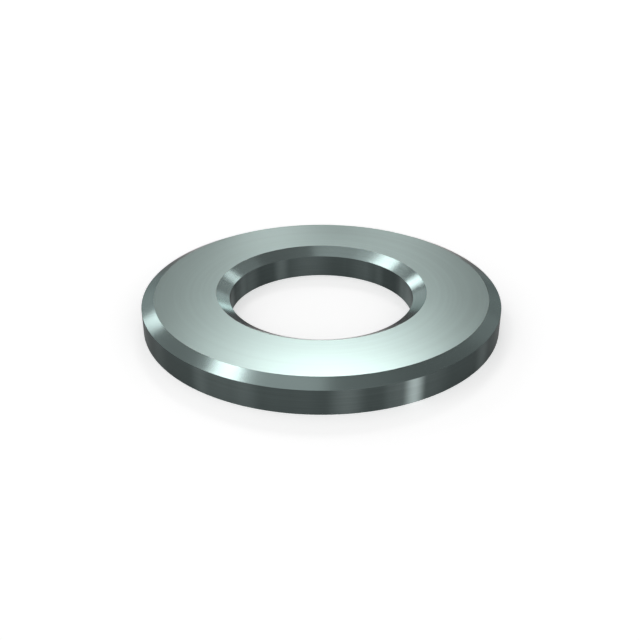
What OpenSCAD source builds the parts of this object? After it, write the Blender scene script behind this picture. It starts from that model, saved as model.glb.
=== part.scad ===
// Plain round washer, turned in one piece. Its upper side is chamfered at the bore and at the rim,
// so that it clears the radius under a bolt's head, and its lower side is flat to both edges.

/* [Ring] */
// Diameter of the bore, the clearance hole for an M16 bolt
bore_d = 17; // [14:0.1:20]
// Diameter of the rim
rim_d = 33; // [28:0.1:45]
// Thickness between the two flat faces
thickness = 2.8; // [2.2:0.05:6]

/* [Upper chamfers] */
// Width of the bore's chamfer along the radius
bore_chamfer_w = 1.22; // [0.4:0.02:1.6]
// Depth of the bore's chamfer along the axis
bore_chamfer_h = 0.66; // [0.3:0.02:1.4]
// Width of the rim's chamfer along the radius
rim_chamfer_w = 1.15; // [0.4:0.05:1.6]
// Depth of the rim's chamfer along the axis
rim_chamfer_h = 0.55; // [0.3:0.05:1.4]

/* [Lower edges] */
// Radius that tumbling leaves on the lower edges of the bore and the rim
edge_r = 0.05; // [0.05:0.01:0.3]

/* [Hidden] */
$fn = 180;

bore_r = bore_d / 2;
rim_r = rim_d / 2;

// Half of the ring's section, with the radius along X and the height along Y
module section() {
    polygon([
        [bore_r, edge_r],
        [bore_r + edge_r, 0],
        [rim_r - edge_r, 0],
        [rim_r, edge_r],
        [rim_r, thickness - rim_chamfer_h],
        [rim_r - rim_chamfer_w, thickness],
        [bore_r + bore_chamfer_w, thickness],
        [bore_r, thickness - bore_chamfer_h],
    ]);
    // The rounds on the two lower edges
    for (x = [bore_r + edge_r, rim_r - edge_r])
        translate([x, edge_r]) circle(r = edge_r);
}

// The whole washer, standing on its lower face with its axis on Z
module washer() {
    color("#8f9f9d") rotate_extrude() section();
}

washer();
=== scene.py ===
from collections import namedtuple
from math import atan2, cos, hypot, pi, radians, sin, tan
from random import Random

import bpy
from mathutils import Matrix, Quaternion, Vector

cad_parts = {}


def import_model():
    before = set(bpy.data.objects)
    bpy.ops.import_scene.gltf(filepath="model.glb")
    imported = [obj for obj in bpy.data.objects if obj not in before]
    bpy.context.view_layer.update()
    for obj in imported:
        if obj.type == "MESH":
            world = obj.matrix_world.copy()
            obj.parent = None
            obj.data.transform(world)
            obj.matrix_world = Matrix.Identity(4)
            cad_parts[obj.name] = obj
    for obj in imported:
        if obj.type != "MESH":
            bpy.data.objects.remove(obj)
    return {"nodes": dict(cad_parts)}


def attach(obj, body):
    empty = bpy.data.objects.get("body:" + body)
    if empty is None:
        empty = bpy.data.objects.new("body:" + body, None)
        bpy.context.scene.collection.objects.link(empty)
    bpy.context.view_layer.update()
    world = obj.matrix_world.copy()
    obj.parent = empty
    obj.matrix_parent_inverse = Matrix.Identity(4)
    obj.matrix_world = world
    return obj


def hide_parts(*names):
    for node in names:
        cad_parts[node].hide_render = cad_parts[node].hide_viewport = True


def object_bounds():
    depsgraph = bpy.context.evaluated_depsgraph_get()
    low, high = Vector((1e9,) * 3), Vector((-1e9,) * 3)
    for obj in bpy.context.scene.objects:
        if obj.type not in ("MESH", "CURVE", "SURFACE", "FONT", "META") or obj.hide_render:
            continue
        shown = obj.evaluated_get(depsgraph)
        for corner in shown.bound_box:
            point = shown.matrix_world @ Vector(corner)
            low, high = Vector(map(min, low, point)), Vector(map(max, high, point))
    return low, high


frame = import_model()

cad_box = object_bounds()
scene = bpy.context.scene
scene.view_settings.view_transform = "Standard"

# Section of the ring: its corners come from the CAD solid, and its upper edges get fine rounds
CLOSE = 2e-6
UPPER_EDGE = 0.00003


def corners(cad):
    """Corners of the section as (radius, height, edge radius), anticlockwise from the bore's lower edge."""
    points = [(hypot(v.co.x, v.co.y), v.co.z) for v in cad.data.vertices]
    bore = min(r for r, z in points)
    rim = max(r for r, z in points)
    top = max(z for r, z in points)
    upper = [r for r, z in points if z > top - CLOSE]
    lower = [r for r, z in points if z < CLOSE]
    bore_wall_top = max(z for r, z in points if r < bore + CLOSE)
    rim_wall_top = max(z for r, z in points if r > rim - CLOSE)
    lower_edge = min(lower) - bore
    return [
        (bore, 0.0, lower_edge),
        (rim, 0.0, lower_edge),
        (rim, rim_wall_top, UPPER_EDGE),
        (max(upper), top, UPPER_EDGE),
        (min(upper), top, UPPER_EDGE),
        (bore, bore_wall_top, UPPER_EDGE),
    ]


# Material and rows of faces of the surface that follows each corner
FACE, RIM_CHAMFER, BORE_CHAMFER, WALL = range(4)
SURFACES = [
    (FACE, 8),  # lower face
    (WALL, 4),  # rim wall
    (RIM_CHAMFER, 3),
    (FACE, 8),  # upper face
    (BORE_CHAMFER, 3),
    (WALL, 4),  # bore wall
]
ARC_STEPS = 6
TURN_STEPS = 600


def profile(section):
    """Rounded section as a closed list of (point, normal, edge, material up to the next point)."""
    count = len(section)
    places = [Vector((r, z)) for r, z, edge in section]
    edges = [edge for r, z, edge in section]
    ways = [(places[(i + 1) % count] - places[i]).normalized() for i in range(count)]
    normals = [Vector((way.y, -way.x)) for way in ways]
    turns = [normals[i - 1].angle(normals[i]) for i in range(count)]
    set_backs = [edges[i] * tan(turns[i] / 2) for i in range(count)]
    rows = []
    for i, (material, steps) in enumerate(SURFACES):
        material_before = SURFACES[i - 1][0]
        # The corner's arc, half in each of the two materials that meet there
        centre = places[i] - ways[i - 1] * set_backs[i] - normals[i - 1] * edges[i]
        start = atan2(normals[i - 1].y, normals[i - 1].x)
        for k in range(ARC_STEPS + 1):
            t = k / ARC_STEPS
            angle = start + turns[i] * t
            normal = Vector((cos(angle), sin(angle)))
            side = material_before if t < 0.5 else material
            rows.append((centre + normal * edges[i], normal, sin(pi * t), side))
        # The flat that follows, up to the next corner's arc
        after = (i + 1) % count
        first = places[i] + ways[i] * set_backs[i]
        last = places[after] - ways[i] * set_backs[after]
        for k in range(1, steps):
            rows.append((first.lerp(last, k / steps), normals[i], 0.0, material))
    return rows


# Painted reflections: light streaks up the walls, painted into the colour, as (angle in degrees, half width,
# strength) round the rim and the bore
RIM_PAINTED_REFLECTIONS = [
    (-63.6, 4, 0.78), (-67.5, 7, 0.12), (-58, 8, 0.06), (-83.2, 6.2, 0.14), (-34.8, 5, 0.12),
    (-111, 5, 0.055), (-119, 13, 0.06), (-126.4, 4, 0.065), (-146, 5.5, 0.05),
]
BORE_PAINTED_REFLECTIONS = [
    (10, 23, 0.35), (23.5, 4.5, 0.08), (47, 5, 0.07), (59, 14, 0.065), (99, 19, 0.09),
    (118.4, 7, 0.15), (146, 12, 0.15), (154.5, 6, 0.16), (161, 8, 0.08), (174, 10, 0.3),
]
# Faint painted reflection streaks at random, added to each wall
RIM_SEED = 3
BORE_SEED = 8
FAINT_COUNT = 14
FAINT_HALF_WIDTH = (1.5, 6)
FAINT_STRENGTH = (0.004, 0.018)


def painted_reflection_streaks(chosen, seed):
    """Strength of the painted reflection streaks at each step of the turn."""
    random = Random(seed)
    marks = list(chosen)
    for _ in range(FAINT_COUNT):
        angle = random.uniform(-180, 180)
        marks.append((angle, random.uniform(*FAINT_HALF_WIDTH), random.uniform(*FAINT_STRENGTH)))
    strengths = []
    for i in range(TURN_STEPS):
        angle = 360 * i / TURN_STEPS
        total = 0.0
        for centre, half_width, strength in marks:
            off = abs((angle - centre + 180) % 360 - 180) / half_width
            if off < 1:
                total += strength * (1 - off * off) ** 2
        strengths.append(min(total, 1.0))
    return strengths


def lathe(name, rows):
    """Turns the section about Z, with exact normals and a colour attribute for edges and painted reflection
    streaks.
    """
    rim_painted_reflections = painted_reflection_streaks(RIM_PAINTED_REFLECTIONS, RIM_SEED)
    bore_painted_reflections = painted_reflection_streaks(BORE_PAINTED_REFLECTIONS, BORE_SEED)
    verts = []
    normals = []
    finish = []
    for i in range(TURN_STEPS):
        angle = 2 * pi * i / TURN_STEPS
        x = cos(angle)
        y = sin(angle)
        for point, normal, edge, _ in rows:
            verts.append((point.x * x, point.x * y, point.y))
            normals.append((normal.x * x, normal.x * y, normal.y))
            # The attribute holds the rounded edges and the painted reflection streaks, the rim's or the
            # bore's by the side the normal faces
            finish.extend((edge, rim_painted_reflections[i] if normal.x > 0 else bore_painted_reflections[i], 0.0, 1.0))
    count = len(rows)
    faces = []
    for i in range(TURN_STEPS):
        here = i * count
        there = (i + 1) % TURN_STEPS * count
        for k in range(count):
            after = (k + 1) % count
            faces.append((here + k, there + k, there + after, here + after))
    mesh = bpy.data.meshes.new(name)
    mesh.from_pydata(verts, [], faces)
    mesh.polygons.foreach_set("use_smooth", [True] * len(faces))
    mesh.polygons.foreach_set("material_index", [row[3] for row in rows] * TURN_STEPS)
    layer = mesh.color_attributes.new("finish", "FLOAT_COLOR", "POINT")
    layer.data.foreach_set("color", finish)
    mesh.normals_split_custom_set_from_vertices(normals)
    mesh.validate()
    obj = bpy.data.objects.new(name, mesh)
    scene.collection.objects.link(obj)
    return obj


# Finishes: the faces are ground and the chamfers turned smooth; the walls are painted dark, a painted shade
# that stands in for dark reflections.
# At a glancing angle, glare is the share of the mirror-like reflection that is left, and sheen is soft light.
Finish = namedtuple("Finish", "colour rough metallic anisotropic glare sheen", defaults=[0.0])
FACE_FINISH = Finish((0.484, 0.60, 0.575, 1), 0.282, 1.0, 0.1, (0.36, 0.30, 0.315, 1))
RIM_FINISH = Finish((0.392, 0.493, 0.48, 1), 0.16, 0.97, 0.13, (0.20, 0.18, 0.184, 1))
BORE_FINISH = RIM_FINISH._replace(glare=(0.06, 0.05, 0.052, 1), sheen=0.18)
# Painted shade: the walls' colour is far darker than the faces' to stand in for dark reflections
WALL_PAINTED_DARK_FINISH = Finish((0.063, 0.079, 0.0775, 1), 0.42, 1.0, 0.9, (0.6, 0.6, 0.6, 1))
# A full painted reflection streak on a wall: a painted highlight in the colour, with the roughness there
PAINTED_REFLECTION_COLOUR = (0.44, 0.52, 0.51, 1)
PAINTED_REFLECTION_ROUGH = 0.32
# Share of the colour that is left in the middle of a rounded edge: painted shade that dims the rounds'
# highlight
EDGE_PAINTED_SHADE = 0.45
# Lines from the turning, as (pitch, change round the axis, detail), and how much they lighten and darken
FINE_LINES = (0.0003, 0.8, 0.0)
TOOL_LINES = (0.0006, 0.6, 0.0)
WALL_LINES = (0.00012, 2.0, 1.0)
FINE_CONTRAST = 0.02
WALL_CONTRAST = 0.05
BUMP_STRENGTH = 0.2
BUMP_HEIGHT = 0.000004
# Smudges in the roughness of the faces and chamfers
SMUDGE_SCALE = 150.0
SMUDGE_DETAIL = 2.0
SMUDGE_ROUGH = 0.004
# The middle of a noise, which is spread over a whole range
NOISE_LOW = 0.3
NOISE_HIGH = 0.7
# Turns the stretch of the highlights from along the lines to across them
QUARTER_TURN = 0.25
# Colour sockets of a Mix node
MIX_A = 6
MIX_B = 7
MIX_RESULT = 2


class Graph:
    """Short calls that add nodes to a tree."""

    def __init__(self, tree):
        self.tree = tree

    def node(self, kind, **settings):
        made = self.tree.nodes.new("ShaderNode" + kind)
        for key, value in settings.items():
            setattr(made, key, value)
        return made

    def put(self, socket, value):
        if isinstance(value, bpy.types.NodeSocket):
            self.tree.links.new(value, socket)
        else:
            socket.default_value = value

    def math(self, operation, *values):
        made = self.node("Math", operation=operation)
        for socket, value in zip(made.inputs, values):
            self.put(socket, value)
        return made.outputs[0]

    def vector(self, operation, *values):
        made = self.node("VectorMath", operation=operation)
        for socket, value in zip(made.inputs, values):
            self.put(socket, value)
        return made.outputs["Value"] if operation == "LENGTH" else made.outputs[0]

    def scaled(self, vector, factor):
        made = self.node("VectorMath", operation="SCALE")
        self.put(made.inputs[0], vector)
        made.inputs["Scale"].default_value = factor
        return made.outputs[0]

    def combine(self, x, y, z):
        made = self.node("CombineXYZ")
        for socket, value in zip(made.inputs, (x, y, z)):
            self.put(socket, value)
        return made.outputs[0]

    def noise(self, vector, scale, detail):
        made = self.node("TexNoise")
        self.put(made.inputs["Vector"], vector)
        made.inputs["Scale"].default_value = scale
        made.inputs["Detail"].default_value = detail
        return made.outputs["Fac"]

    def ramp(self, value, low, high, to_low, to_high, smooth=True):
        made = self.node("MapRange", interpolation_type="SMOOTHSTEP" if smooth else "LINEAR")
        self.put(made.inputs["Value"], value)
        for key, number in zip(("From Min", "From Max", "To Min", "To Max"), (low, high, to_low, to_high)):
            made.inputs[key].default_value = number
        return made.outputs["Result"]

    def spread(self, noise, to_low, to_high):
        return self.ramp(noise, NOISE_LOW, NOISE_HIGH, to_low, to_high, smooth=False)

    def mix(self, a, b, factor=1.0, blend="MIX"):
        made = self.node("Mix", data_type="RGBA", blend_type=blend)
        self.put(made.inputs["Factor"], factor)
        self.put(made.inputs[MIX_A], a)
        self.put(made.inputs[MIX_B], b)
        return made.outputs[MIX_RESULT]


class Steel(Graph):
    """A metal material, with the places and masks that its marks follow."""

    def __init__(self, name, finish):
        self.material = bpy.data.materials.new(name)
        self.material.use_nodes = True
        super().__init__(self.material.node_tree)
        self.shader = self.tree.nodes["Principled BSDF"]
        self.shader.inputs["Metallic"].default_value = finish.metallic
        self.shader.inputs["Anisotropic"].default_value = finish.anisotropic
        self.shader.inputs["Anisotropic Rotation"].default_value = QUARTER_TURN
        self.shader.inputs["Specular Tint"].default_value = finish.glare
        self.shader.inputs["Sheen Weight"].default_value = finish.sheen
        tangent = self.node("Tangent", direction_type="RADIAL", axis="Z")
        self.put(self.shader.inputs["Tangent"], tangent.outputs[0])

        # Direction from the axis, and a length that changes across every surface of the section
        self.place = self.node("TexCoord").outputs["Object"]
        split = self.node("SeparateXYZ")
        self.put(split.inputs[0], self.place)
        flat = self.combine(split.outputs[0], split.outputs[1], 0.0)
        self.heading = self.vector("NORMALIZE", flat)
        self.along = self.math("ADD", self.vector("LENGTH", flat), split.outputs[2])

        # Masks from the finish attribute: the rounded edges, and the painted reflection streaks on the walls
        attribute = self.node("Attribute", attribute_name="finish")
        masks = self.node("SeparateColor")
        self.put(masks.inputs[0], attribute.outputs["Color"])
        self.edge, self.painted_reflection = masks.outputs[:2]

    def lines(self, pitch, change, detail):
        """Fine lines round the axis, a pitch apart, that change slowly along their length."""
        across = self.combine(0.0, 0.0, self.math("DIVIDE", self.along, pitch))
        around = self.scaled(self.heading, change)
        return self.noise(self.vector("ADD", around, across), 1.0, detail)

    def paint(self, colour, lines, contrast):
        """Sets the colour, a little uneven from the lines and darker on the rounded edges as painted shade.
        """
        shade = self.spread(lines, 1 - contrast, 1 + contrast)
        shade = self.math("MULTIPLY", shade, self.ramp(self.edge, 0.0, 1.0, 1.0, EDGE_PAINTED_SHADE))
        self.put(self.shader.inputs["Base Color"], self.mix(colour, shade, blend="MULTIPLY"))

    def bump(self, height):
        made = self.node("Bump")
        made.inputs["Strength"].default_value = BUMP_STRENGTH
        made.inputs["Distance"].default_value = BUMP_HEIGHT
        self.put(made.inputs["Height"], height)
        self.put(self.shader.inputs["Normal"], made.outputs[0])


def ground_steel(name, finish):
    """Finish of the faces and chamfers: smooth, with faint lines from the turning."""
    steel = Steel(name, finish)
    steel.paint(finish.colour, steel.lines(*FINE_LINES), FINE_CONTRAST)
    smudge = steel.noise(steel.place, SMUDGE_SCALE, SMUDGE_DETAIL)
    rough = steel.math("ADD", finish.rough, steel.spread(smudge, -SMUDGE_ROUGH, SMUDGE_ROUGH))
    steel.put(steel.shader.inputs["Roughness"], rough)
    steel.bump(steel.lines(*TOOL_LINES))
    return steel.material


def painted_wall_steel(name, finish):
    """Finish of the walls: painted dark as painted shade, with fine lines round them and painted reflection
    streaks up them.
    """
    steel = Steel(name, finish)
    lines = steel.lines(*WALL_LINES)
    steel.paint(steel.mix(finish.colour, PAINTED_REFLECTION_COLOUR, steel.painted_reflection), lines, WALL_CONTRAST)
    rough = steel.ramp(steel.painted_reflection, 0.0, 1.0, finish.rough, PAINTED_REFLECTION_ROUGH, smooth=False)
    steel.put(steel.shader.inputs["Roughness"], rough)
    steel.bump(lines)
    return steel.material


washer = lathe("washer_ring", profile(corners(frame["nodes"]["washer"])))
# In the order of the surfaces' material numbers
washer.data.materials.append(ground_steel("steel_faces", FACE_FINISH))
washer.data.materials.append(ground_steel("steel_rim_chamfer", RIM_FINISH))
washer.data.materials.append(ground_steel("steel_bore_chamfer", BORE_FINISH))
washer.data.materials.append(painted_wall_steel("steel_walls_painted", WALL_PAINTED_DARK_FINISH))
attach(washer, "root")
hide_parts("washer")

# Floor, pale, and lifted to white where it is seen directly or in a reflection
FLOOR_RADIUS = 0.4
FLOOR_SIDES = 96
FLOOR_DROP = 0.00001
FLOOR_COLOUR = (0.90, 0.90, 0.90, 1)
FLOOR_LIFT = 0.455
WHITE = (1, 1, 1, 1)


def floor():
    """A round sheet of matt paper just under the washer."""
    ring = [2 * pi * i / FLOOR_SIDES for i in range(FLOOR_SIDES)]
    verts = [(FLOOR_RADIUS * cos(a), FLOOR_RADIUS * sin(a), -FLOOR_DROP) for a in ring]
    mesh = bpy.data.meshes.new("floor")
    mesh.from_pydata(verts, [], [range(FLOOR_SIDES)])
    obj = bpy.data.objects.new("floor", mesh)
    scene.collection.objects.link(obj)
    material = bpy.data.materials.new("floor_paper")
    material.use_nodes = True
    shader = material.node_tree.nodes["Principled BSDF"]
    shader.inputs["Base Color"].default_value = FLOOR_COLOUR
    shader.inputs["Roughness"].default_value = 1.0
    shader.inputs["Specular IOR Level"].default_value = 0.0
    shader.inputs["Emission Color"].default_value = WHITE
    graph = Graph(material.node_tree)
    path = graph.node("LightPath")
    seen = graph.math("MAXIMUM", path.outputs["Is Camera Ray"], path.outputs["Is Glossy Ray"])
    seen = graph.math("MAXIMUM", seen, path.outputs["Is Transmission Ray"])
    graph.put(shader.inputs["Emission Strength"], graph.math("MULTIPLY", seen, FLOOR_LIFT))
    mesh.materials.append(material)


floor()

# Surroundings: dim behind the object, bright on the camera's side and along the horizon.
# Each stretch is a range of a direction's X (right), Y (away from the camera) or Z (up).
WORLD_DIM = 0.142
WORLD_FRONT = 0.75
FRONT_STRETCH_Y = (0.3, -0.7)
WORLD_LEFT = 0.7
WORLD_HORIZON = 0.33
LEFT_STRETCH_X = (-0.5, -0.25)
HORIZON_STRETCH_Z = (0.05, 0.5)
WORLD_HAZE = 0.07
HAZE_STRETCH_Z = (0.0, 0.9)
WORLD_SKYLINE = 0.6
SKYLINE_STRETCH_Z = (0.0, 0.07)
# A dark patch straight ahead, mirrored by the upper face, with its edge as cosines from its middle
DIP_ELEVATION = 28
DIP_LEVEL = 0.2
DIP_EDGE = (0.90, 0.975)


def world():
    """Sets the brightness of the surroundings by direction."""
    made = bpy.data.worlds.new("studio")
    scene.world = made
    made.use_nodes = True
    graph = Graph(made.node_tree)
    back = made.node_tree.nodes["Background"]
    split = graph.node("SeparateXYZ")
    graph.put(split.inputs[0], graph.node("TexCoord").outputs["Generated"])
    x, y, z = split.outputs
    front = graph.ramp(y, *FRONT_STRETCH_Y, 0.0, WORLD_FRONT)
    horizon = graph.ramp(x, *LEFT_STRETCH_X, WORLD_LEFT, WORLD_HORIZON)
    horizon = graph.math("MULTIPLY", horizon, graph.ramp(z, *HORIZON_STRETCH_Z, 1.0, 0.0))
    haze = graph.ramp(z, *HAZE_STRETCH_Z, WORLD_DIM + WORLD_HAZE, WORLD_DIM)
    skyline = graph.ramp(z, *SKYLINE_STRETCH_Z, WORLD_SKYLINE, 0.0)
    ahead = graph.math("MULTIPLY", y, cos(radians(DIP_ELEVATION)))
    ahead = graph.math("ADD", ahead, graph.math("MULTIPLY", z, sin(radians(DIP_ELEVATION))))
    dip = graph.ramp(ahead, *DIP_EDGE, 1.0, DIP_LEVEL)
    dimmed = graph.math("MULTIPLY", graph.math("ADD", horizon, haze), dip)
    graph.put(back.inputs["Strength"], graph.math("ADD", graph.math("ADD", front, dimmed), skyline))
    back.inputs["Color"].default_value = WHITE


# Softboxes on a dome round the object, where the face and the chamfers mirror the photograph's highlights.
# name: azimuth from +Y towards +X, elevation, width, height, roll (degrees), radiance
LAMP_DISTANCE = 1.5
SOFTBOXES = {
    "key": (1.7, 39.3, 13, 8, 0, 9.0),
    "key_side": (-9, 34, 5, 6, 0, 2.1),
    "left_low": (-32.5, 27.6, 18, 10, -15, 2.35),
    "left_near": (-28, 28.5, 6, 6, 0, 1.15),
    "left_mid": (-37, 40.5, 8, 11, 0, 0.4),
    "left_high": (-52, 57.9, 26, 7.5, 38, 2.6),
    "left_end": (-51, 61.5, 6, 4, 0, 1.0),
    "left_tail": (-54, 66.5, 10, 7, 0, 0.2),
    "left_fill": (-50, 42, 14, 22, 0, 0.08),
    "right_low": (31.5, 33.4, 7.5, 9.5, 0, 1.5),
    "right_fill": (41, 38, 12, 34, 0, 0.12),
    "right_glow": (24, 23.5, 10, 10, 0, 0.28),
    "low_back": (10.5, 4.5, 6, 6, 0, 3.5),
    "low_mid": (-4, 16, 5, 6, 0, 5.3),
    "low_side": (6, 16, 5, 5, 0, 3.6),
    "low_left": (-14, 10, 24, 7, 57, 0.7),
    "low_right": (14, 10, 18, 7, -57, 0.82),
    "overhead": (-63, 77, 24, 24, 0, 0.28),
}


def softbox(name, azimuth, elevation, width, height, roll, radiance):
    """A lamp that faces the origin, with its sizes as seen from there."""
    data = bpy.data.lights.new(name, "AREA")
    data.shape = "RECTANGLE"
    data.size = 2 * LAMP_DISTANCE * tan(radians(width) / 2)
    data.size_y = 2 * LAMP_DISTANCE * tan(radians(height) / 2)
    data.energy = radiance * pi * data.size * data.size_y
    obj = bpy.data.objects.new(name, data)
    scene.collection.objects.link(obj)
    az = radians(azimuth)
    el = radians(elevation)
    away = Vector((sin(az) * cos(el), cos(az) * cos(el), sin(el)))
    obj.location = away * LAMP_DISTANCE
    obj.rotation_mode = "QUATERNION"
    obj.rotation_quaternion = away.to_track_quat("Z", "Y") @ Quaternion((0, 0, 1), radians(roll))
    obj.visible_camera = False


world()
for name, values in SOFTBOXES.items():
    softbox(name, *values)

# Camera, at the photograph's angle, with its place in rim radii
RIM = cad_box[1][0]
PHOTO_PX = 640
FOCAL_PX = 862.5
SENSOR_MM = 36.0
VIEW_ELEVATION = 28.627
VIEW_DISTANCE = 4.6968 * RIM
LOOK_AT = Vector((-0.00747, -0.2239, 0.08581)) * RIM
CLIP = (0.001, 20.0)


def camera():
    """A pinhole camera, level from left to right, that looks along +Y and down."""
    data = bpy.data.cameras.new("camera")
    data.sensor_width = SENSOR_MM
    data.lens = FOCAL_PX * SENSOR_MM / PHOTO_PX
    data.clip_start, data.clip_end = CLIP
    obj = bpy.data.objects.new("camera", data)
    scene.collection.objects.link(obj)
    el = radians(VIEW_ELEVATION)
    away = Vector((0.0, -cos(el), sin(el)))
    obj.location = LOOK_AT + away * VIEW_DISTANCE
    obj.rotation_mode = "QUATERNION"
    obj.rotation_quaternion = away.to_track_quat("Z", "Y")
    scene.camera = obj


camera()
